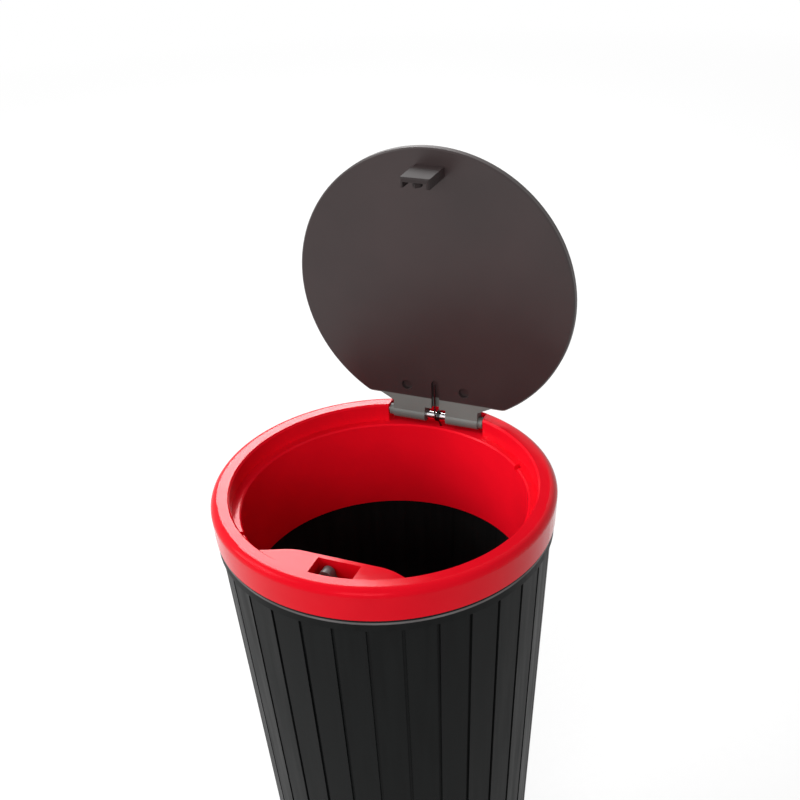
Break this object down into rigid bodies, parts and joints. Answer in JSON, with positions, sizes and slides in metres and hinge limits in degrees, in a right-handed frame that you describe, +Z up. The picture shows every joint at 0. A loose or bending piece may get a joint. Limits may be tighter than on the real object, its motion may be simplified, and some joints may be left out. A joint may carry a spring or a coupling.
{
  "type": "car trash bin",
  "caption": "Tapered grooved cup with a glossy collar and a round sprung lid that opens on a hinge pin and shuts with a push latch.",
  "frame": {"origin": "middle of the cup's flat base, on the cup's axis", "axes": "+Z up along the cup's axis; the lid's hinge is at +Y and its latch at -Y; +X runs along the hinge pin"},
  "size_m": [0.0898, 0.0898, 0.2563],
  "materials": {
    "cup_plastic": "satin black moulded plastic",
    "collar_plastic": "gloss red moulded plastic",
    "lid_plastic": "fine-grained matt black moulded plastic",
    "pin_steel": "bright drawn steel",
    "spring_steel": "dark oil-tempered spring wire",
    "latch_plastic": "dark grey moulded plastic"
  },
  "bodies": {
    "bin": {"body": "cup_plastic", "collar": "collar_plastic", "hinge_pin": "pin_steel", "lid_spring": "spring_steel", "follower_pin": "pin_steel"},
    "lid": {"lid": "lid_plastic"},
    "follower": {"latch_follower": "latch_plastic"}
  },
  "joints": [
    {"name": "lid_hinge", "type": "hinge", "parent": "bin", "child": "lid", "pos_m": [0, 0.039, 0.178], "axis": [1, 0, 0], "range_deg": [0, 93.4], "stiffness_Nm_per_rad": 0.012, "springref_deg": -34.38, "deforming": ["lid_spring"]},
    {"name": "follower_swing", "type": "hinge", "parent": "bin", "child": "follower", "pos_m": [0, -0.03, 0.1603], "axis": [0, 1, 0], "range_deg": [0, 28]}
  ]
}
